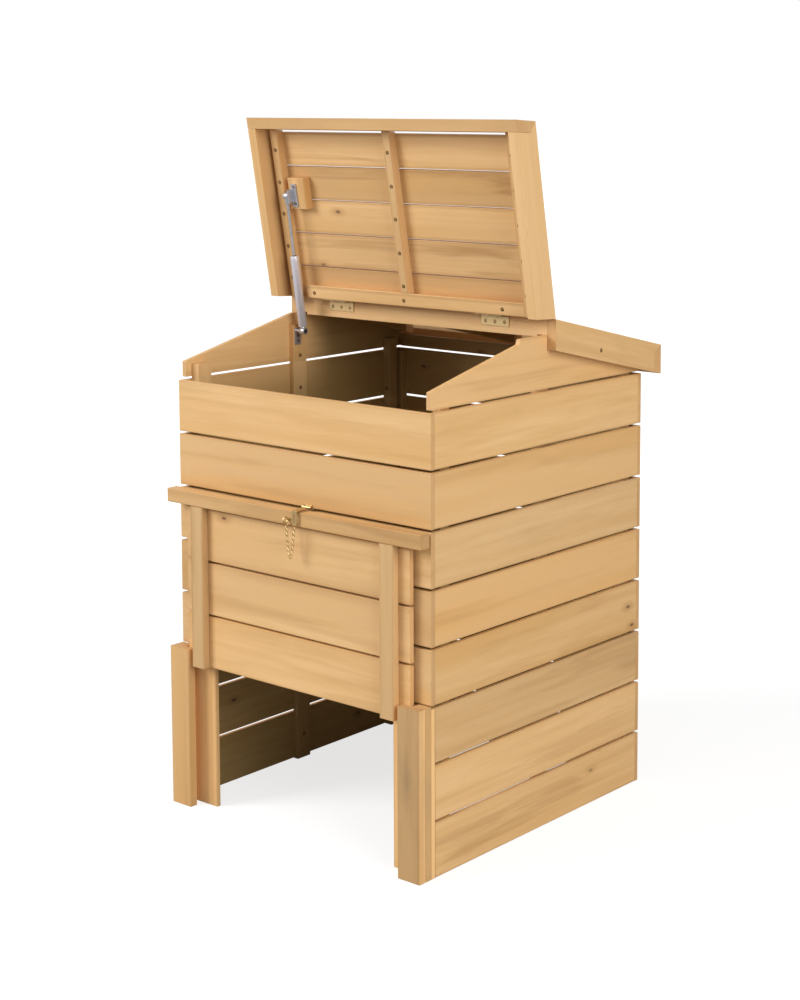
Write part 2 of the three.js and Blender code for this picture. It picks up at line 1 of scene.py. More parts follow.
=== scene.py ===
import json
import math
import random

import bmesh
import bpy
from mathutils import Matrix, Vector
from mathutils.geometry import interpolate_bezier


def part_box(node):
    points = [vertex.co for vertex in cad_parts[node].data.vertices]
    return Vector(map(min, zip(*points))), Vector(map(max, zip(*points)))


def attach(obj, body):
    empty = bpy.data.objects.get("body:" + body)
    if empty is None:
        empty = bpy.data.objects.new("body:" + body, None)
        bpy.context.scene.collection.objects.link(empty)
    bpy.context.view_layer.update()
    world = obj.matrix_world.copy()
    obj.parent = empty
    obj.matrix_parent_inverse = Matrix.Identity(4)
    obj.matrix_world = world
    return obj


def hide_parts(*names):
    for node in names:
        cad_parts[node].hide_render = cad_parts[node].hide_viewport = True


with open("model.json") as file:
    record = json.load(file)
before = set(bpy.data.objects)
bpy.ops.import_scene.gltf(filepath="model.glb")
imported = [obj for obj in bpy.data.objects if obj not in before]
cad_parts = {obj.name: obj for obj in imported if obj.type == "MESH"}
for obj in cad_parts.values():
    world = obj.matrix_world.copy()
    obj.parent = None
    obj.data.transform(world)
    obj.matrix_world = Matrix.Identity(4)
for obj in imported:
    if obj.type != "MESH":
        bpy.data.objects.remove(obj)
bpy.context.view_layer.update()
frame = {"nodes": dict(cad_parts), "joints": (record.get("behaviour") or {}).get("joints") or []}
nodes = frame["nodes"]
mm = 0.001
print("frame loaded:", len(nodes), "nodes")


def srgb(r, g, b):
    return tuple(((c / 255 + 0.055) / 1.055) ** 2.4 if c > 10 else c / 3294 for c in (r, g, b)) + (1.0,)


# A socket that takes part in expressions; node() makes any other node
class Wire:
    def __init__(self, tree, socket=None):
        self.tree = tree
        self.socket = socket

    def node(self, kind, settings=None, inputs=None, output=0):
        made = self.tree.nodes.new(kind)
        for name, value in (settings or {}).items():
            setattr(made, name, value)
        for key, value in (inputs or {}).items():
            if isinstance(value, Wire):
                self.tree.links.new(value.socket, made.inputs[key])
            else:
                made.inputs[key].default_value = value
        return Wire(self.tree, made.outputs[output])

    def math(self, operation, *values):
        return self.node("ShaderNodeMath", {"operation": operation}, dict(enumerate(values)))

    def __add__(self, other):
        return self.math("ADD", self, other)

    def __radd__(self, other):
        return self.math("ADD", other, self)

    def __sub__(self, other):
        return self.math("SUBTRACT", self, other)

    def __rsub__(self, other):
        return self.math("SUBTRACT", other, self)

    def __mul__(self, other):
        return self.math("MULTIPLY", self, other)

    def __rmul__(self, other):
        return self.math("MULTIPLY", other, self)

    def __truediv__(self, other):
        return self.math("DIVIDE", self, other)

    def __pow__(self, other):
        return self.math("POWER", self, other)

    def floor(self):
        return self.math("FLOOR", self)

    def fraction(self):
        return self.math("FRACT", self)

    def size(self):
        return self.math("ABSOLUTE", self)

    def above(self, low, high):
        limits = {"Value": self, "From Min": low, "From Max": high, "To Min": 0.0, "To Max": 1.0}
        return self.node("ShaderNodeMapRange", {"interpolation_type": "SMOOTHSTEP"}, limits)

    def dot(self, vector):
        settings = {"operation": "DOT_PRODUCT"}
        return self.node("ShaderNodeVectorMath", settings, {0: self, 1: vector}, "Value")

    def vector(self, x, y, z):
        return self.node("ShaderNodeCombineXYZ", None, {0: x, 1: y, 2: z})

    def noise(self, where, scale, detail=2.0, roughness=0.5):
        inputs = {"Vector": where, "Scale": scale, "Detail": detail, "Roughness": roughness}
        return self.node("ShaderNodeTexNoise", None, inputs, "Fac")

    def mix(self, factor, first, second, blend="MIX"):
        settings = {"data_type": "RGBA", "blend_type": blend}
        return self.node("ShaderNodeMix", settings, {0: factor, 6: first, 7: second}, 2)

    def mixNumbers(self, factor, first, second):
        return self.node("ShaderNodeMix", {"data_type": "FLOAT"}, {0: factor, 2: first, 3: second}, 0)


def newMaterial(name):
    material = bpy.data.materials.new(name)
    material.use_nodes = True
    material.node_tree.nodes.clear()
    start = Wire(material.node_tree)
    return material, start


def surface(start, bump, bumpHeight, **sockets):
    shader = start.tree.nodes.new("ShaderNodeBsdfPrincipled")
    output = start.tree.nodes.new("ShaderNodeOutputMaterial")
    start.tree.links.new(shader.outputs[0], output.inputs["Surface"])
    for name, value in sockets.items():
        socket = shader.inputs[name.replace("_", " ")]
        if isinstance(value, Wire):
            start.tree.links.new(value.socket, socket)
        else:
            socket.default_value = value
    normal = start.node("ShaderNodeBump", None, {"Height": bump, "Distance": bumpHeight, "Strength": 1.0})
    start.tree.links.new(normal.socket, shader.inputs["Normal"])


# The photograph's camera
cameraLook = {
    "place": (1.98027, -2.26228, 1.12191),
    "turn": 39.19,
    "tilt": 6.12,
    "focal": 1890.2,
    "centre": (476.8, 304.65),
    "picture": (800, 1000),
}


def makeCamera(look):
    data = bpy.data.cameras.new("camera")
    camera = bpy.data.objects.new("camera", data)
    bpy.context.scene.collection.objects.link(camera)
    width, height = look["picture"]
    data.sensor_width = 36.0
    data.lens = look["focal"] * data.sensor_width / height
    data.shift_x = (width / 2 - look["centre"][0]) / height
    data.shift_y = (look["centre"][1] - height / 2) / height
    data.clip_end = 100
    camera.location = look["place"]
    camera.rotation_euler = (math.radians(90 - look["tilt"]), 0, math.radians(look["turn"]))
    bpy.context.scene.camera = camera


makeCamera(cameraLook)
print("camera set")

joints = {joint["name"]: joint for joint in frame["joints"]}
axisX, axisY, axisZ = Vector((1, 0, 0)), Vector((0, 1, 0)), Vector((0, 0, 1))


def middleOf(name):
    low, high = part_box(name)
    return (low + high) / 2


# How the roof lies: the lid stands open at rest, turned about its hinge pins
roof = {
    "pitch": math.radians(13.2),
    "gap": 3.6 * mm,          # between the lid and the ridge board
    "pinRise": -1.2 * mm,
    "battenFace": 23.3 * mm,  # from the outer face of the slats to the face of the battens
    "slatFace": 8 * mm,
    "slatPitch": 54.34 * mm,  # of the rear roof
    "firstSeam": 56.9 * mm,
    "ridgeBoard": 20.2 * mm,  # from the pins to its back
    "ridgeBlend": 0.8 * mm,
}
pins = Vector(joints["lid_hinge"]["pos_m"])
openAngle = math.radians(joints["lid_hinge"]["range_deg"][1])
opening = Matrix.Rotation(-openAngle, 3, "X")
pitchCos, pitchSin = math.cos(roof["pitch"]), math.sin(roof["pitch"])
rearSlope, rearFace = Vector((0, pitchCos, -pitchSin)), Vector((0, pitchSin, pitchCos))
lidSlope = opening @ Vector((0, -pitchCos, -pitchSin))
lidFace = opening @ Vector((0, -pitchSin, pitchCos))


# Points of the lid and of the rear roof: down the slope from the ridge, and below the outer face
def lidPoint(x, run, below):
    ridge = opening @ Vector((0, -roof["gap"] / 2, -roof["pinRise"]))
    return pins + ridge + axisX * x + lidSlope * run - lidFace * below


def rearPoint(x, run, below):
    ridge = Vector((x, roof["gap"] / 2, -roof["pinRise"]))
    return pins + ridge + rearSlope * run - rearFace * below


# Softwood: honey tan, with soft growth rings, fine fibre, small knots and weathered patches
timber = {
    "pale": srgb(239, 196, 139),
    "middle": srgb(227, 182, 122),
    "honey": srgb(221, 170, 98),
    "ring": srgb(180, 132, 76),
    "knot": srgb(104, 72, 44),
    "stain": srgb(148, 123, 94),
    "endGrain": srgb(204, 158, 106),
    "ringSpacing": 10.5 * mm,
    "ringDepth": 0.40,
    "roughness": 0.60,
    "knotShare": 0.87,
    "grainHeight": 0.16 * mm,
    # painted shade by the gaps: a darker strip along each long edge of a board's face, its width and how
    # much of it shows
    "gapShade": 4 * mm,            # the darker strip along each edge
    "gapShadeShare": 0.35,
    "rowTones": (0.94, 1.03),
}

# How fast each figure of the wood changes, per metre: along a board, across it and through it
scales = {
    "wander": (2.2, 9.0, 9.0),
    "streaks": (4.0, 60.0, 60.0),
    "fibre": (22.0, 900.0, 900.0),
    "patches": (4.4, 15.0, 6.0),
    "bands": (0.9, 16.0, 8.0),
    "smears": (1.5, 30.0, 12.0),
    "knots": (7.0, 14.0, 0.0),
}

# Where a board lies in its tree, in metres: the heart is aside of its middle, and behind its face
heart = {
    "aside": 0.030,
    "sideWander": 0.034,
    "behind": 0.09,
    "behindWander": 0.03,
    "behindPace": 1.3,
    "depthShare": 0.02,
}

# How far the wood is moved on from one board to the next, and from row to row of a panel
moved = {
    "along": 1.37,
    "deep": 0.71,
    "rowAlong": 2.3,
    "rowDeep": 0.9,
    "rowTone": 3.1,
    "crossing": 5.0,
    "crossingShare": 0.5,
}

# Where each figure, and each side of a board, starts to show and where it shows in full
shows = {
    "pale": (0.26, 0.74),
    "bands": (0.48, 0.74),
    "lateWood": (0.25, 0.84),
    "earlyWood": (0.88, 1.0),
    "streaks": (0.1, 0.7),
    "smears": (0.49, 0.70),
    "stain": (0.58, 0.84),
    "fibre": (0.52, 0.80),
    "core": (0.018, 0.052),
    "halo": (0.03, 0.17),
    "ends": (0.7, 0.95),
    "sides": (0.6, 0.8),
}

# How much each figure covers of the colour below it
covers = {"bands": 0.55, "smears": 0.40, "fibre": 0.13, "halo": 0.45, "core": 0.80, "ends": 0.6}

# How much each figure adds to the height of the surface
relief = {"fibre": 0.5, "rings": 0.3, "streaks": 0.6, "knots": 0.8}

# Painted shade: the inside faces of the bin are darkened, as the inside lies in the bin's own shade, but for
# the upper walls towards the front, under the open lid, where light falls in
inside = {
    "tone": (0.48, 0.50, 0.42, 1.0),
    "lit": (580 * mm, 730 * mm),   # from dark to lit, up the walls
    "litTo": (16 * mm, 90 * mm),   # from lit to dark, towards the back
    "boards": 8 * mm,
    "edge": (0.4 * mm, 1.6 * mm),  # of the dark, behind the inner faces
    "roofEdge": 0.4 * mm,
}

# Panels that are one node: where their rows lie, and which part of them runs across the rows
rowPitch = 86 * mm
panels = {
    "left_panel": {"start": 0.0, "pitch": rowPitch, "inner": axisX, "from": -254.9 * mm},
    "back_panel": {
        "start": 0.0,
        "pitch": rowPitch,
        "inner": -axisY,
        "from": 8.2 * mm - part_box("back_panel")[1].y,
    },
    "rear_roof_deck": {
        "start": rearPoint(0, roof["firstSeam"] - roof["slatPitch"], 0).dot(rearSlope),
        "pitch": roof["slatPitch"],
        "inner": -rearFace,
        "from": -rearPoint(0, 0, roof["slatFace"] + 0.3 * mm).dot(rearFace),
    },
}

# Boards that the photograph shows lighter, darker, greyer or more figured than the rest
specialMoods = {
    "right_gable": {"stain": 0.35, "figure": 1.2, "light": 1.15},
    "right_slat_2": {"light": 1.08},
    "right_slat_3": {"light": 0.94},
    "right_slat_4": {"light": 1.12},
    "right_slat_5": {"light": 0.97, "stain": 0.4},
    "right_slat_6": {"light": 0.95, "stain": 0.45},
    "right_slat_7": {"light": 1.13},
    "right_slat_8": {"light": 1.03, "figure": 1.3},
    # painted light: the right guide's side faces are made half as light again, as they show lit
    "right_guide": {"light": 0.85, "stain": 0.8, "edge": 1.5},
    "left_guide": {"light": 1.02},
    # painted light: the jambs are lightened to make up for the shadow that the door casts on them
    "left_jamb": {"light": 1.25},
    "right_jamb": {"light": 1.25},
    "front_slat_2": {"light": 1.02},
    "door_slat_2": {"light": 1.08},
    "lid_right_bargeboard": {"light": 1.08, "stain": 0.4},
    "lid_hinge_rail": {"light": 1.04, "stain": 0.4},
    "right_guide_spacer": {"light": 0.95, "stain": 0.6},
    "door_header": {"light": 0.86, "stain": 0.35},
    "rear_right_bargeboard": {"light": 0.92, "stain": 0.5},
    "lid_slat_1": {"figure": 1.3},
    "lid_slat_2": {"light": 0.98, "figure": 1.8},
    "lid_slat_3": {"light": 1.02, "figure": 1.5},
    "lid_slat_4": {"light": 0.96, "figure": 1.9},
    "lid_slat_5": {"light": 1.02, "figure": 1.8},
    "lid_middle_batten": {"light": 0.93},
    "lid_left_batten": {"light": 0.93},
    "door_left_batten": {"light": 0.83, "stain": 0.4},
    "door_right_batten": {"light": 0.91, "stain": 0.2},
}

# The ranges that each board's own mood is drawn from, before the special ones
moods = {
    "light": (-0.045, 0.03),
    "figure": (0.55, 1.1),
    "stain": (0.0, 0.22),
    "knots": (0.0, 0.10),
    "warm": (-0.015, 0.02),
}

# Boards by the way that their grain runs, then across it, then through it
grain = (
    ((axisY, axisZ, axisX), ("right_slat", "right_gable", "left_panel")),
    ((axisX, axisZ, axisY), ("front_slat", "door_slat", "door_header", "back_panel", "rear_eave")),
    ((axisX, rearSlope, rearFace), ("rear_roof_deck",)),
    ((rearSlope, rearFace, axisX), ("rear_left_barge", "rear_right_barge")),
    ((axisX, lidSlope, lidFace), ("lid_slat", "lid_hinge_rail")),
    ((axisX, lidFace, lidSlope), ("lid_eave",)),
    ((lidSlope, lidFace, axisX), ("lid_left_barge", "lid_right_barge")),
    ((lidSlope, axisX, lidFace), ("lid_left_batten", "lid_middle_batten", "lid_right_batten")),
    ((lidSlope, axisX, lidFace), ("lid_strut_block",)),
    ((axisZ, axisY, axisX), ("right_front_post", "right_middle_post", "right_rear_post")),
    ((axisZ, axisX, axisY), ("left_jamb", "right_jamb", "left_guide", "right_guide")),
    ((axisZ, axisX, axisY), ("door_left_batten", "door_right_batten")),
)


# How much painted shade a point takes: all of it on the inner faces, and none on the outer faces, above the
# inner face of the rear roof, or high on the walls towards the front
def insideShadeShare(start, position):
    x, y, z = (position.dot(axis) for axis in (axisX, axisY, axisZ))
    centre = middleOf("right_slat_1").y
    halfWidth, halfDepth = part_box("right_slat_1")[1].x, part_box("back_panel")[1].y - centre
    near, far = inside["edge"]
    share = 1.0
    for reach, half in ((x, halfWidth), (y - centre, halfDepth)):
        face = half - inside["boards"]
        share = share * (1 - reach.size().above(face + near, face + far))
    roofFace = rearPoint(0, 0, roof["slatFace"] - inside["roofEdge"]).dot(rearFace)
    share = share * (1 - position.dot(rearFace).above(roofFace - inside["roofEdge"], roofFace))
    return share * (1 - z.above(*inside["lit"]) * (1 - y.above(*inside["litTo"])))


def boardFields(start, axes, seed, middle, panel):
    position = start.node("ShaderNodeTexCoord", output="Object")
    normal = start.node("ShaderNodeTexCoord", output="Normal")
    along, across, deep = (position.dot(axis) for axis in axes)
    alongNormal = normal.dot(axes[0])
    if not panel:
        return along + seed * moved["along"], across - middle, deep + seed * moved["deep"], alongNormal, 0.5
    row = ((across - panel["start"]) / panel["pitch"]).floor()
    inner = position.dot(panel["inner"])
    crossing = inner.math("GREATER_THAN", inner, panel["from"])
    if panel["pitch"] == roof["slatPitch"]:  # the ridge board runs with the slats
        ridgeBack = pins.y + roof["ridgeBoard"]
        crossing = crossing * position.dot(axisY).above(ridgeBack, ridgeBack + roof["ridgeBlend"])
    inRow = across - panel["start"] - (row + 0.5) * panel["pitch"]
    drawn = {"W": row + seed * moved["rowTone"]}
    lot = start.node("ShaderNodeTexWhiteNoise", {"noise_dimensions": "1D"}, drawn)
    rowStart = along + row * moved["rowAlong"] + seed * moved["along"]
    return (
        start.mixNumbers(crossing, rowStart, across + moved["crossing"]),
        start.mixNumbers(crossing, inRow, along * moved["crossingShare"]),
        deep + row * moved["rowDeep"] + seed * moved["deep"],
        start.mixNumbers(crossing, alongNormal, normal.dot(axes[1])),
        lot,
    )


# Small knots, on a few of the cells of a pattern: each a dark core in a ragged halo
def knotShares(start, along, across, patches, threshold):
    x, y, z = scales["knots"]
    cells = {"feature": "F1", "voronoi_dimensions": "2D"}
    where = {"Vector": start.vector(along * x, across * y, z), "Scale": 1.0, "Randomness": 1.0}
    gap = start.node("ShaderNodeTexVoronoi", cells, where, "Distance")
    drawn = start.node("ShaderNodeTexVoronoi", cells, where, "Color")
    lots = drawn.node("ShaderNodeSeparateColor", None, {0: drawn}).above(threshold, threshold + 0.02)
    core = (1 - gap.above(*shows["core"])) * lots
    halo = (1 - (gap + (patches - 0.5) * 0.10).above(*shows["halo"])) * lots
    return core, halo


def timberLook(start, fields, seed, mood):
    along, across, deep, alongNormal, lot = fields
    rng = random.Random(seed)
    look = timber

    def figure(kind, detail, roughness=0.5, scale=1.0, shift=0.0):
        x, y, z = scales[kind]
        return start.noise(start.vector(along * x + shift, across * y, deep * z), scale, detail, roughness)

    wander = figure("wander", 2.0, 0.5, 1.6) - 0.5
    aside = rng.uniform(-heart["aside"], heart["aside"])
    sideways = across - aside + wander * heart["sideWander"]
    run = start.vector(along * heart["behindPace"], seed * 0.7, 0.0)
    inward = start.noise(run, 1.0, 1.0) * heart["behind"] + wander * heart["behindWander"]
    radius = (sideways * sideways + inward * inward + deep * deep * heart["depthShare"]) ** 0.5
    rings = (radius / look["ringSpacing"]).fraction()
    lateWood = rings.above(*shows["lateWood"]) - rings.above(*shows["earlyWood"])
    streaks = figure("streaks", 3.0, 0.6)
    fibre = figure("fibre", 2.0, 0.55)
    patches = figure("patches", 3.0, 0.55)
    bands = figure("bands", 1.0)
    smears = figure("smears", 3.0, 0.6, 1.0, wander * 1.2)
    core, halo = knotShares(start, along, across, patches, mood["knots"])

    colour = start.mix(streaks.above(*shows["pale"]), look["middle"], look["pale"])
    colour = start.mix(bands.above(*shows["bands"]) * covers["bands"], colour, look["honey"])
    ringDepth = look["ringDepth"] * mood["figure"]
    colour = start.mix(lateWood * streaks.above(*shows["streaks"]) * ringDepth, colour, look["ring"])
    smeared = smears.above(*shows["smears"]) * (covers["smears"] * mood["figure"])
    colour = start.mix(smeared, colour, look["ring"])
    stainFrom, stainTo = shows["stain"]
    stained = patches.above(stainFrom - 0.12 * mood["stain"], stainTo) * mood["stain"]
    colour = start.mix(stained, colour, look["stain"])
    colour = start.mix(fibre.above(*shows["fibre"]) * covers["fibre"], colour, look["ring"])
    colour = start.mix(halo * covers["halo"], colour, look["ring"])
    colour = start.mix(core * covers["core"], colour, look["knot"])
    colour = start.mix(alongNormal.size().above(*shows["ends"]) * covers["ends"], colour, look["endGrain"])
    darker, lighter = (tuple(c * share for c in mood["shade"][:3]) + (1.0,) for share in look["rowTones"])
    colour = start.mix(1.0, colour, start.mix(lot, darker, lighter), "MULTIPLY")
    roughness = look["roughness"] + (fibre - 0.5) * 0.18 - streaks * 0.05
    grown = fibre * relief["fibre"] + lateWood * relief["rings"] + streaks * relief["streaks"]
    return colour, roughness, grown - core * relief["knots"]


def moodFor(name, seed):
    rng = random.Random(seed * 7 + 3)
    mood = {
        "light": 1.0 + rng.uniform(*moods["light"]),
        "figure": rng.uniform(*moods["figure"]),
        "stain": rng.uniform(*moods["stain"]),
        "knots": timber["knotShare"] + rng.uniform(*moods["knots"]),
        "edge": 1.0,
    }
    mood.update(specialMoods.get(name, {}))
    warm = rng.uniform(*moods["warm"])
    light = mood["light"]
    mood["shade"] = (light * (1 + warm), light, light * (1 - warm * 2), 1.0)
    return mood


# Painted shade along the long edges of each face, by the gaps; the sides, painted lighter than the face
# where a board's mood asks it; and painted shade on the inside of the bin
def shadeBoard(start, colour, name, axes, mood):
    across = axes[1]
    low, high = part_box(name)
    middle, half = middleOf(name).dot(across), abs((high - low).dot(across)) / 2
    position = start.node("ShaderNodeTexCoord", output="Object")
    side = start.node("ShaderNodeTexCoord", output="Normal").dot(across).size().above(*shows["sides"])
    # painted shade: a darker strip along the long edges of each face, by the gaps between boards, on boards
    # that are not panels
    if name not in panels:
        gapShade = (position.dot(across) - middle).size().above(half - timber["gapShade"], half) * (1 - side)
        colour = start.mix(gapShade * timber["gapShadeShare"], colour, timber["ring"])
    # painted light: a board's side faces are lightened by its edge mood
    if mood["edge"] != 1.0:
        paintedSideLight = (mood["edge"],) * 3 + (1.0,)
        colour = start.mix(side, colour, start.mix(1.0, colour, paintedSideLight, "MULTIPLY"))
    # painted shade: the inside of the bin is darkened by the inside tone
    paintedShade = start.mix(1.0, colour, inside["tone"], "MULTIPLY")
    return start.mix(insideShadeShare(start, position), colour, paintedShade)


def paintBoard(name, axes, seed):
    material, start = newMaterial("wood_" + name)
    fields = boardFields(start, axes, seed, middleOf(name).dot(axes[1]), panels.get(name))
    mood = moodFor(name, seed)
    colour, roughness, height = timberLook(start, fields, seed, mood)
    colour = shadeBoard(start, colour, name, axes, mood)
    surface(start, height, timber["grainHeight"], Base_Color=colour, Roughness=roughness)
    for slot in nodes[name].material_slots:
        slot.material = material


for index, name in enumerate(sorted(nodes)):
    for axes, boards in grain:
        if name.startswith(boards):
            paintBoard(name, axes, index + 1)
print("boards painted")

# Metals: the photograph's fittings have taken a warm tone, apart from the strut
metals = {
    "zinc": {"colour": srgb(214, 186, 136), "roughness": 0.42, "metallic": 0.8, "mottle": 0.10},
    "silver": {"colour": srgb(222, 220, 228), "roughness": 0.34, "metallic": 0.35, "mottle": 0.04},
    "chrome": {"colour": srgb(216, 216, 220), "roughness": 0.12, "metallic": 1.0, "mottle": 0.03},
    "socket": {"colour": srgb(206, 206, 214), "roughness": 0.30, "metallic": 0.75, "mottle": 0.08},
    "brass": {"colour": srgb(214, 188, 136), "roughness": 0.28, "metallic": 0.95, "mottle": 0.08},
    "screw": {"colour": srgb(158, 120, 72), "roughness": 0.34, "metallic": 0.85, "mottle": 0.14},
    # dark brown: painted shade on the screws, round each head and in the recess, and the real colour of the
    # strut's seal
    "recess": {"colour": srgb(52, 38, 26), "roughness": 0.70, "metallic": 0.2, "mottle": 0.10},
}
cloudy = {"scale": 160.0, "shows": (0.35, 0.75), "cover": 5, "tone": 0.72, "height": 0.02 * mm}


def metal(name):
    look = metals[name]
    material, start = newMaterial(name)
    where = start.node("ShaderNodeTexCoord", output="Object")
    cloud = start.noise(where, cloudy["scale"], 3.0, 0.6)
    darker = tuple(c * cloudy["tone"] for c in look["colour"][:3]) + (1.0,)
    shown = cloud.above(*cloudy["shows"]) * (look["mottle"] * cloudy["cover"])
    tone = start.mix(shown, look["colour"], darker)
    rough = look["roughness"] + (cloud - 0.5) * look["mottle"]
    surface(start, cloud, cloudy["height"], Base_Color=tone, Roughness=rough, Metallic=look["metallic"])
    return material


metalOf = {name: metal(name) for name in metals}
finishes = {
    "brass": ("latch_bracket", "latch_chain", "latch_eye", "latch_link"),
    "silver": ("strut_cylinder", "strut_rod"),
    "socket": ("strut_lid_bracket", "strut_post_bracket"),
    "zinc": [f"{side}_hinge_{leaf}_leaf" for side in ("left", "right") for leaf in ("fixed", "moving")],
}
for finish, pieces in finishes.items():
    for name in pieces:
        for slot in nodes[name].material_slots:
            slot.material = metalOf[finish]
print("metal painted")


sharpAngle = math.radians(35)


def addPiece(name, mesh, materials, body, replaced=()):
    data = bpy.data.meshes.new(name)
    mesh.normal_update()
    mesh.to_mesh(data)
    mesh.free()
    data.polygons.foreach_set("use_smooth", [True] * len(data.polygons))
    data.set_sharp_from_angle(angle=sharpAngle)
    for material in materials:
        data.materials.append(metalOf[material])
    piece = bpy.data.objects.new(name, data)
    bpy.context.scene.collection.objects.link(piece)
    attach(piece, body)
    if replaced:
        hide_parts(*replaced)


# Turns local z to the way out, and local x as near as can be to the side, or to y where z is along it
def facing(place, out, side=axisX):
    z = Vector(out).normalized()
    nearlySame = abs(z.dot(side)) > 0.9
    y = z.cross(axisY if nearlySame else side).normalized()
    turn = Matrix((y.cross(z), y, z)).transposed()
    return Matrix.Translation(place) @ turn.to_4x4()


def around(sides):
    return [2 * math.pi * i / sides for i in range(sides)]


def bridge(mesh, first, second):
    count = len(first)
    for i in range(count):
        j = (i + 1) % count
        mesh.faces.new((first[i], first[j], second[j], second[i]))


# A body of revolution about local z, from (height, radius) pairs, closed at both ends
def turned(mesh, profile, place, sides):
    rings = []
    for height, radius in profile:
        spots = [Vector((radius * math.cos(a), radius * math.sin(a), height)) for a in around(sides)]
        rings.append([mesh.verts.new(place @ spot) for spot in spots])
    for first, second in zip(rings, rings[1:]):
        bridge(mesh, first, second)
    mesh.faces.new(rings[0][::-1])
    mesh.faces.new(rings[-1])


# A wire bent round a flat closed loop of local (x, y) points
def wireLoop(mesh, points, wire, place, sides):
    rings = []
    for i, point in enumerate(points):
        ahead, behind = Vector(points[(i + 1) % len(points)]), Vector(points[i - 1])
        way = (ahead - behind).normalized()
        out = Vector((way.y, -way.x, 0))
        centre = Vector((point[0], point[1], 0))
        spots = [centre + out * wire * math.cos(a) + axisZ * wire * math.sin(a) for a in around(sides)]
        rings.append([mesh.verts.new(place @ spot) for spot in spots])
    for i, ring in enumerate(rings):
        bridge(mesh, ring, rings[(i + 1) % len(rings)])


def oval(length, width, steps=6):
    radius = width / 2
    points = []
    for end, start in ((1, 0.0), (-1, math.pi)):
        for i in range(steps + 1):
            angle = start + math.pi * i / steps
            points.append((radius * math.cos(angle), end * (length / 2 - radius) + radius * math.sin(angle)))
    return points


# Countersunk cross-recess screws, with painted shade: a dark ring round each head, and dark walls and floor
# in the recess
screw = {
    "radius": 2.7 * mm,
    "rise": 0.45 * mm,
    "bevel": 0.8 * mm,
    "armLength": 1.9 * mm,
    "armWidth": 0.42 * mm,
    "recess": 1.1 * mm,
    "shadowRing": 0.55 * mm,
    "shadowRingRise": 0.03 * mm,
    "footRise": 0.05 * mm,
    "crownShare": 0.3,      # of the bevel
    "recessShare": 0.7,     # of the recess, at its floor
    "sides": 40,
}


def screwHead(mesh, place, out, turn, size=1.0, rise=1.0):
    look = {key: value * size for key, value in screw.items()}
    sides = screw["sides"]
    head = facing(place, out) @ Matrix.Rotation(turn, 4, "Z")
    top = look["rise"] * rise

    def armRadius(angle):
        off = (angle + math.pi / 4) % (math.pi / 2) - math.pi / 4
        edge = look["armWidth"] / max(abs(math.sin(off)), 1e-6)
        return min(look["armLength"] / math.cos(off), edge)

    def ring(radius, height):
        made = []
        for i in range(sides):
            angle = 2 * math.pi * (i + 0.5) / sides
            reach = radius(angle) if callable(radius) else radius
            spot = Vector((reach * math.cos(angle), reach * math.sin(angle), height))
            made.append(mesh.verts.new(head @ spot))
        return made

    rings = [
        ring(look["radius"] + look["shadowRing"], screw["shadowRingRise"]),
        ring(look["radius"], screw["footRise"]),
        ring(look["radius"], top - look["bevel"] * screw["crownShare"] * rise),
        ring(look["radius"] - look["bevel"], top),
        ring(armRadius, top),
        ring(lambda angle: armRadius(angle) * screw["recessShare"], top - look["recess"]),
    ]
    # painted shade: the ring round the head and the walls of the recess take the second, dark material
    paintedShade = (0, 4)  # the gap round the head, and the walls of the recess
    for i, (first, second) in enumerate(zip(rings, rings[1:])):
        before = len(mesh.faces)
        bridge(mesh, first, second)
        mesh.faces.ensure_lookup_table()
        for face in mesh.faces[before:]:
            face.material_index = int(i in paintedShade)
    # painted shade on the floor of the recess
    floor = mesh.faces.new(rings[-1])
    floor.material_index = 1


def addScrews(name, body, places, size=1.0, rise=1.0):
    mesh = bmesh.new()
    rng = random.Random(len(name))
    for place, out in places:
        screwHead(mesh, place, out, rng.uniform(0, math.pi / 2), size, rise)
    addPiece(name, mesh, ("screw", "recess"), body)


# Where the screws are: heights in the walls, distances down the roof slopes, and places across the bin
driven = {
    "rowMiddle": 41 * mm,
    "topRow": 698 * mm,
    "postMargin": 10 * mm,
    "postEnds": (615 * mm, 400 * mm, 185 * mm),
    "backFace": 22.8 * mm,
    "backBattens": ((-245.6 * mm, 600 * mm), (229.6 * mm, 710 * mm)),  # the middle and top of each
    "battenRuns": (39 * mm, 93 * mm, 148 * mm, 201 * mm, 255 * mm),
    "battenMiddles": (-246.9 * mm, 0, 246.9 * mm),
    "railRun": 15 * mm,
    "railSpots": (-201 * mm, -3.6 * mm, 196.7 * mm),
    "bargeRun": 128.6 * mm,
    "bargeDepth": 31 * mm,
    "doorSpots": (-199.5 * mm, 199.5 * mm),
    "leafSteps": (-19 * mm, 0, 19 * mm),
    "leafDrop": 10.5 * mm,
    "leafGap": 0.2 * mm,
    "leafSize": 0.85,
    "leafRise": 0.3,
}


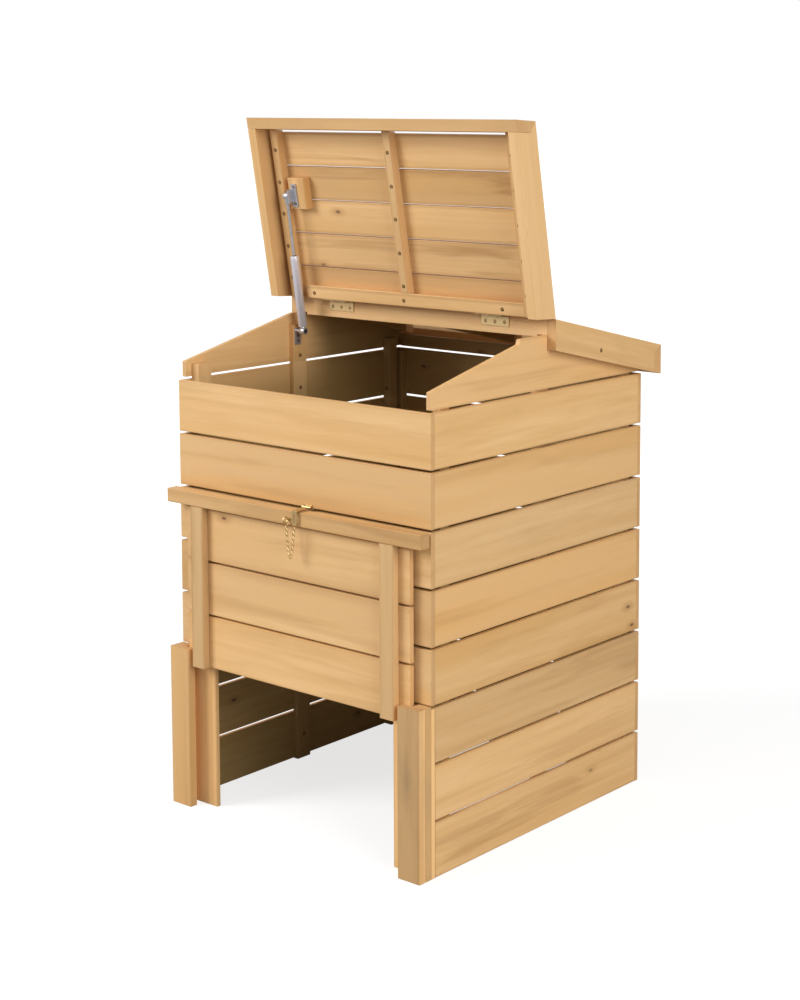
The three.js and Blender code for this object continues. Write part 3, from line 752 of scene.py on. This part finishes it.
def driveWallScrews(look):
    rowCentres = [rowPitch * row + look["rowMiddle"] for row in range(8)] + [look["topRow"]]
    sideLow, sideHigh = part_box("right_slat_1")
    turnY = sideLow.y + sideHigh.y  # the left side is the right one turned half round
    leftSpots, rightSpots = [], []
    for name in ("middle", "rear"):
        low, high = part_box(f"right_{name}_post")
        y = (low.y + high.y) / 2
        heights = [z for z in rowCentres if z < high.z - look["postMargin"]]
        rightSpots += [(Vector((low.x, y, z)), -axisX) for z in heights]
        leftSpots += [(Vector((-low.x, turnY - y, z)), axisX) for z in heights]
    middle = middleOf("right_front_post").x
    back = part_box("right_front_post")[1].y  # it and its twin are screwed endwise to the next panel
    for z in look["postEnds"]:
        rightSpots.append((Vector((middle, back, z)), axisY))
        leftSpots.append((Vector((-middle, turnY - back, z)), -axisY))
    addScrews("leftPostScrews", "bin", leftSpots)
    addScrews("rightPostScrews", "bin", rightSpots)
    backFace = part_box("back_panel")[1].y - look["backFace"]
    addScrews("backBattenScrews", "bin", [
        (Vector((x, backFace, z)), -axisY)
        for x, top in look["backBattens"] for z in rowCentres if z < top
    ])


def driveRoofScrews(look):
    depth = roof["battenFace"]
    spots = [(x, run) for x in look["battenMiddles"] for run in look["battenRuns"]]
    addScrews("rearRoofScrews", "bin", [(rearPoint(x, run, depth), -rearFace) for x, run in spots])
    addScrews("lidBattenScrews", "lid", [(lidPoint(x, run, depth), -lidFace) for x, run in spots])
    addScrews("lidRailScrews", "lid", [
        (lidPoint(x, look["railRun"], depth), -lidFace) for x in look["railSpots"]
    ])
    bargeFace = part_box("rear_right_bargeboard")[1].x
    for side, sign in (("left", -1), ("right", 1)):
        spot = rearPoint(sign * bargeFace, look["bargeRun"], look["bargeDepth"])
        addScrews("rear" + side.title() + "BargeScrew", "bin", [(spot, axisX * sign)])


def driveDoorScrews(look):
    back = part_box("door_slat_1")[1].y
    rows = [middleOf(f"door_slat_{row}").z for row in (1, 2, 3)]
    addScrews("doorScrews", "door", [
        (Vector((x, back, z)), axisY) for x in look["doorSpots"] for z in rows
    ])


def driveHingeScrews(look):
    drop, gap = look["leafDrop"], look["leafGap"]
    for side in ("left", "right"):
        steps = [middleOf(side + "_hinge_fixed_leaf").x + step for step in look["leafSteps"]]
        fixed = [(pins + Vector((x, gap, -drop)), -axisY) for x in steps]
        moving = [(pins + axisX * x + opening @ Vector((0, -gap, -drop)), opening @ axisY) for x in steps]
        addScrews(side + "HingeFixedScrews", "bin", fixed, look["leafSize"], look["leafRise"])
        addScrews(side + "HingeMovingScrews", "lid", moving, look["leafSize"], look["leafRise"])


driveWallScrews(driven)
driveRoofScrews(driven)
driveDoorScrews(driven)
driveHingeScrews(driven)
print("screws driven")

# Gas strut: a painted cylinder with a rolled shoulder, a polished rod, and a ball socket at each end
strut = {
    "reach": 180.2 * mm,     # of the upper stud, down the lid
    "depth": 30.3 * mm,
    "barrel": 7 * mm,
    "barrelFrom": 8 * mm,    # from the lower stud
    "barrelTo": 129 * mm,
    "crimp": 11 * mm,        # from the upper end of the barrel
    "rod": 2.9 * mm,
    "inside": 28 * mm,       # the part of the rod within the barrel
    "socket": 6 * mm,
    "socketHalf": 5 * mm,
    "neck": 4.3 * mm,
    "upperNeck": 15 * mm,
    "round": 0.9 * mm,
    "stud": 3.1 * mm,
    "lidScrews": (-14 * mm, 14 * mm),
    "lidScrewsAside": 12.3 * mm,
    "lidPlate": 2.1 * mm,
    "lidScrewSize": 0.9,
    "postScrews": (9 * mm, 17.5 * mm),
    "postScrewsBack": 3.6 * mm,
    "postPlate": 1.8 * mm,
    "postScrewSize": 0.8,
    "barrelSides": 48,
    "sides": 32,
    "neckSides": 28,
}


def ballSocket(mesh, place, neckFrom, neckTo, way):
    look = strut
    half, radius, edge = look["socketHalf"], look["socket"], look["round"]
    house = [(-half, look["stud"]), (-half, radius - edge)]
    house += [(-half + edge * 0.3, radius - edge * 0.3), (-half + edge, radius)]
    house += [(-height, wide) for height, wide in reversed(house)]
    turned(mesh, house, facing(place, axisX, axisY), look["sides"])
    neck = look["neck"]
    shape = [(neckFrom, neck), (neckTo - edge, neck)]
    shape += [(neckTo - edge * 0.3, neck - edge * 0.3), (neckTo, neck - edge)]
    turned(mesh, shape, facing(place, way), look["neckSides"])


def buildStrut():
    look = strut
    foot = Vector(joints["strut_swing"]["pos_m"])
    head = lidPoint(foot.x, look["reach"], look["depth"])
    way = (head - foot).normalized()
    length = (head - foot).length
    barrel, edge, low, high = look["barrel"], look["round"], look["barrelFrom"], look["barrelTo"]

    mesh = bmesh.new()
    crimp, groove = high - look["crimp"], barrel - edge * 0.4
    shape = [(low, barrel * 0.72), (low + edge * 0.4, barrel * 0.9), (low + edge * 1.6, barrel)]
    shape += [(crimp, barrel), (crimp + edge * 0.4, groove)]
    shape += [(crimp + edge, groove), (crimp + edge * 1.4, barrel)]
    shape += [(high - edge * 2.6, barrel), (high - edge, barrel - edge * 0.5)]
    shape += [(high - edge * 0.2, barrel - edge * 1.8), (high, look["rod"] + edge)]
    turned(mesh, shape, facing(foot, way), look["barrelSides"])
    addPiece("strutBarrel", mesh, ("silver",), "strut_cylinder", ("strut_cylinder",))
    mesh = bmesh.new()
    seal = look["rod"] + edge
    shape = [(high - edge * 0.2, seal), (high + edge * 0.5, seal), (high + edge, seal - edge * 0.5)]
    turned(mesh, shape, facing(foot, way), look["sides"])
    addPiece("strutSeal", mesh, ("recess",), "strut_cylinder")
    mesh = bmesh.new()
    ballSocket(mesh, foot, look["socket"] * 0.5, low + edge, way)
    addPiece("strutLowerSocket", mesh, ("socket",), "strut_cylinder")

    mesh = bmesh.new()
    shape = [(high - look["inside"], look["rod"]), (length - look["upperNeck"] + edge, look["rod"])]
    turned(mesh, shape, facing(foot, way), look["sides"])
    addPiece("strutRod", mesh, ("chrome",), "strut_rod", ("strut_rod",))
    mesh = bmesh.new()
    ballSocket(mesh, head, look["socket"] * 0.5, look["upperNeck"], -way)
    addPiece("strutUpperSocket", mesh, ("socket",), "strut_rod")

    x, face = foot.x + look["lidScrewsAside"], roof["battenFace"] + look["lidPlate"]
    addScrews("strutLidBracketScrews", "lid", [
        (lidPoint(x, look["reach"] + step, face), -lidFace) for step in look["lidScrews"]
    ], look["lidScrewSize"])
    x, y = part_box("strut_post_bracket")[0].x + look["postPlate"], foot.y + look["postScrewsBack"]
    addScrews("strutPostBracketScrews", "bin", [
        (Vector((x, y, foot.z - drop)), axisX) for drop in look["postScrews"]
    ], look["postScrewSize"])


buildStrut()
print("strut made")

# Brass latch: a screw eye in the header, and a chain that hangs from it to the foot of the link
latch = {
    "eyeRadius": 4.6 * mm,
    "eyeWire": 1.2 * mm,
    "linkLength": 6.6 * mm,
    "linkWidth": 3.9 * mm,
    "linkWire": 0.42 * mm,
    "linkCount": 26,
    "chainInset": 1.1 * mm,
    "chainEndDrop": 1.5 * mm,
    "chainBulge": 0.16,     # of the chain's width
    "chainTurn": 0.45,      # of the way down
    "curvePoints": 60,
    "screws": (-6 * mm, 6 * mm),
    "screwFace": 1.2 * mm,
    "screwDrop": 1.9 * mm,
    "screwSize": 0.4,
    "eyePoints": 40,
    "eyeSides": 14,
    "collarSides": 24,
    "linkSides": 8,
}


def buildEye():
    low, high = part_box("latch_eye")
    reach = latch["eyeRadius"] + latch["eyeWire"]
    centre = Vector(((low.x + high.x) / 2, low.y + reach, low.z + reach))
    mesh = bmesh.new()
    wire, radius = latch["eyeWire"], latch["eyeRadius"]
    points = [(radius * math.cos(a), radius * math.sin(a)) for a in around(latch["eyePoints"])]
    wireLoop(mesh, points, wire, facing(centre, axisX, axisY), latch["eyeSides"])
    start = centre.y + radius
    shank = high.y - start
    collar = [(0, wire), (shank - wire * 1.2, wire), (shank - wire, wire * 2)]
    collar += [(shank - wire * 0.2, wire * 2), (shank, wire * 1.6)]
    turned(mesh, collar, facing(Vector((centre.x, start, centre.z)), axisY), latch["collarSides"])
    addPiece("screwEye", mesh, ("brass",), "door", ("latch_eye",))


def buildChain():
    low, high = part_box("latch_chain")
    inset, turn, points = latch["chainInset"], latch["chainTurn"], latch["curvePoints"]
    left, right = low.x + inset, high.x - inset
    front = (low.y + high.y) / 2
    bulge = axisX * ((right - left) * latch["chainBulge"])
    middle = Vector(((left + right) / 2, front, low.z + inset))
    first, last = Vector((left, front, high.z)), Vector((right, front, high.z - latch["chainEndDrop"]))
    down = interpolate_bezier(first, first.lerp(middle, turn) - bulge, middle - bulge, middle, points)
    up = interpolate_bezier(middle, middle + bulge, last.lerp(middle, turn) + bulge, last, points)
    path = down + up[1:]
    steps = [0.0]
    for a, b in zip(path, path[1:]):
        steps.append(steps[-1] + (b - a).length)
    pitch = steps[-1] / latch["linkCount"]
    mesh = bmesh.new()
    shape = oval(latch["linkLength"], latch["linkWidth"])
    for i in range(latch["linkCount"]):
        at = (i + 0.5) * pitch
        k = next(n for n, far in enumerate(steps) if far >= at)
        way = (path[k] - path[k - 1]).normalized()
        flat = way.cross(axisY).normalized() if i % 2 else axisY
        linkTurn = Matrix((way.cross(flat), way, flat)).transposed().to_4x4()
        place = Matrix.Translation(path[k]) @ linkTurn
        wireLoop(mesh, shape, latch["linkWire"], place, latch["linkSides"])
    addPiece("latchChain", mesh, ("brass",), "door", ("latch_chain",))


buildEye()
buildChain()
plateMiddle, plateTop = middleOf("latch_bracket").x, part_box("latch_bracket")[1]
addScrews("latchScrews", "bin", [
    (Vector((plateMiddle + step, plateTop.y - latch["screwFace"], plateTop.z - latch["screwDrop"])), -axisY)
    for step in latch["screws"]
], latch["screwSize"])
print("latch made")

# Studio: the camera sees the floor and the world white, apart from the bin's soft shadow
studio = {
    "floorColour": (0.42, 0.42, 0.42, 1.0),
    "floorReach": 40.0,
    "floorDrop": 0.5 * mm,
    "floorGlow": 0.74,
    "glowNear": 0.8,
    "glowFar": 2.4,
    "sky": 0.36,
    "key": {"place": (-2.4, -3.4, 2.6), "size": 2.2, "power": 144},
    "fill": {"place": (3.6, -1.0, 2.0), "size": 2.6, "power": 98},
    "aim": (0.0, 0.0, 0.45),
}


def addLamp(name, look, aim):
    data = bpy.data.lights.new(name, "AREA")
    data.size = look["size"]
    data.energy = look["power"]
    lamp = bpy.data.objects.new(name, data)
    bpy.context.scene.collection.objects.link(lamp)
    lamp.location = look["place"]
    lamp.rotation_mode = "QUATERNION"
    lamp.rotation_quaternion = (Vector(aim) - lamp.location).to_track_quat("-Z", "Y")


def seenBy(start, kind):
    rays = start.tree.nodes.new("ShaderNodeLightPath")
    return Wire(start.tree, rays.outputs[f"Is {kind} Ray"])


def makeStage(look):
    mesh = bpy.data.meshes.new("floor")
    reach = look["floorReach"]
    corners = [(x * reach, y * reach, 0) for x, y in ((-1, -1), (1, -1), (1, 1), (-1, 1))]
    mesh.from_pydata(corners, [], [(0, 1, 2, 3)])
    floor = bpy.data.objects.new("floor", mesh)
    bpy.context.scene.collection.objects.link(floor)
    floor.location.z = -look["floorDrop"]
    material, start = newMaterial("floor")
    where = start.node("ShaderNodeTexCoord", output="Object")
    away = where.node("ShaderNodeVectorMath", {"operation": "LENGTH"}, {0: where}, "Value")
    glow = look["floorGlow"] + away.above(look["glowNear"], look["glowFar"]) * (1 - look["floorGlow"])
    seen = seenBy(start, "Camera")
    shader = start.node("ShaderNodeBsdfDiffuse", None, {"Color": look["floorColour"]})
    light = start.node("ShaderNodeEmission", None, {"Color": (1, 1, 1, 1), "Strength": seen * glow})
    both = start.node("ShaderNodeAddShader", None, {0: shader, 1: light})
    output = start.tree.nodes.new("ShaderNodeOutputMaterial")
    start.tree.links.new(both.socket, output.inputs["Surface"])
    mesh.materials.append(material)

    world = bpy.data.worlds.new("studio")
    world.use_nodes = True
    world.node_tree.nodes.clear()
    sky = Wire(world.node_tree)
    camera, glossy = seenBy(sky, "Camera"), seenBy(sky, "Glossy")
    direct = camera.math("MAXIMUM", camera, glossy)
    strength = direct * (1 - look["sky"]) + look["sky"]
    back = sky.node("ShaderNodeBackground", None, {"Color": (1, 1, 1, 1), "Strength": strength})
    output = world.node_tree.nodes.new("ShaderNodeOutputWorld")
    world.node_tree.links.new(back.socket, output.inputs["Surface"])
    bpy.context.scene.world = world
    for name in ("key", "fill"):
        addLamp(name, look[name], look["aim"])


makeStage(studio)
bpy.context.scene.view_settings.view_transform = "Standard"
print("stage set")
